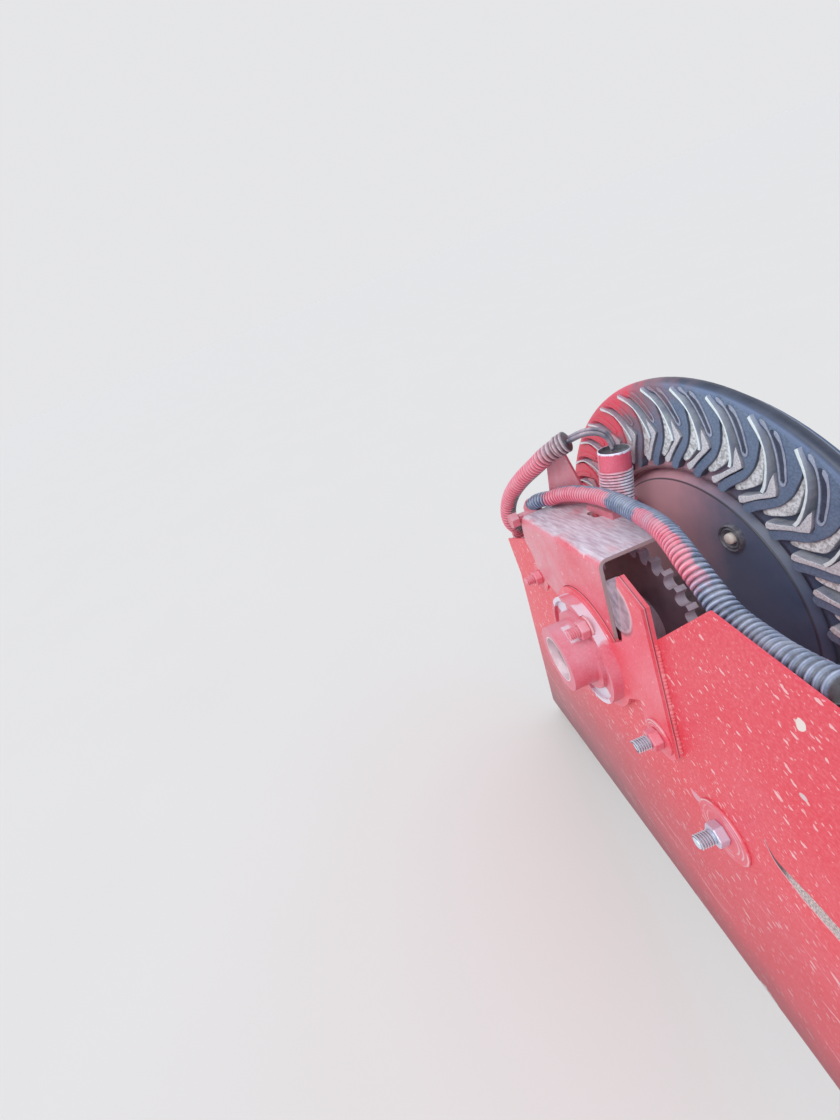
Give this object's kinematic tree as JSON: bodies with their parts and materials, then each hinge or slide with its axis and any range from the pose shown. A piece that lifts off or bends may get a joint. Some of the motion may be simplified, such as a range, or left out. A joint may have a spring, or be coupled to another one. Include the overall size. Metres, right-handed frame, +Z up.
{
  "type": "chain-driven lugged wheel in a side frame",
  "caption": "Side frame unit of a harvesting machine: a sheet panel with a cast bearing housing, whose shaft turns a chain sprocket and a wheel with hooked rubber lugs.",
  "frame": {"origin": "centre of the four bolt holes in the panel end fold, on its outer face", "axes": "+X along the panel from the frame end to the shaft, +Y out of the panel, +Z up"},
  "size_m": [0.6914, 0.226, 0.6964],
  "materials": {
    "red_paint": "dusty gloss paint",
    "dark_steel": "oiled and dusty",
    "bare_thread": "zinc plated",
    "bronze": "plain",
    "black_rubber": "dusty, with red overspray",
    "black_disc": "satin, dusty",
    "cream_cup": "black cup with a cream stud",
    "conduit": "corrugated, partly oversprayed red",
    "wire": "plain"
  },
  "bodies": {
    "frame": {"side_panel": "red_paint", "bearing_plate": "red_paint", "top_bracket": "red_paint", "bearing_housing": "red_paint", "bushing_outer": "bronze", "bushing_inner": "bronze", "frame_bolt_near": "bare_thread", "frame_bolt_mid": "bare_thread", "frame_bolt_far": "red_paint", "housing_bolt_upper": "red_paint", "housing_bolt_lower": "red_paint", "conduit_main": "conduit", "conduit_stub": "conduit", "conduit_thin": "conduit", "wire_bundle": "wire", "clip_main_near": "red_paint", "clip_main_far": "red_paint", "clip_stub": "red_paint", "clip_thin": "red_paint"},
    "wheel": {"drive_shaft": "dark_steel", "shaft_ring": "dark_steel", "sprocket": "dark_steel", "wheel_hub": "dark_steel", "wheel_disc": "black_disc", "lug_ring": "black_rubber", "wheel_cups": "cream_cup", "end_washer": "dark_steel", "end_nut": "dark_steel"}
  },
  "joints": [
    {"name": "wheel_spin", "type": "hinge", "parent": "frame", "child": "wheel", "pos_m": [0.42, -0.083, 0.024], "axis": [0, 1, 0], "continuous": true}
  ]
}
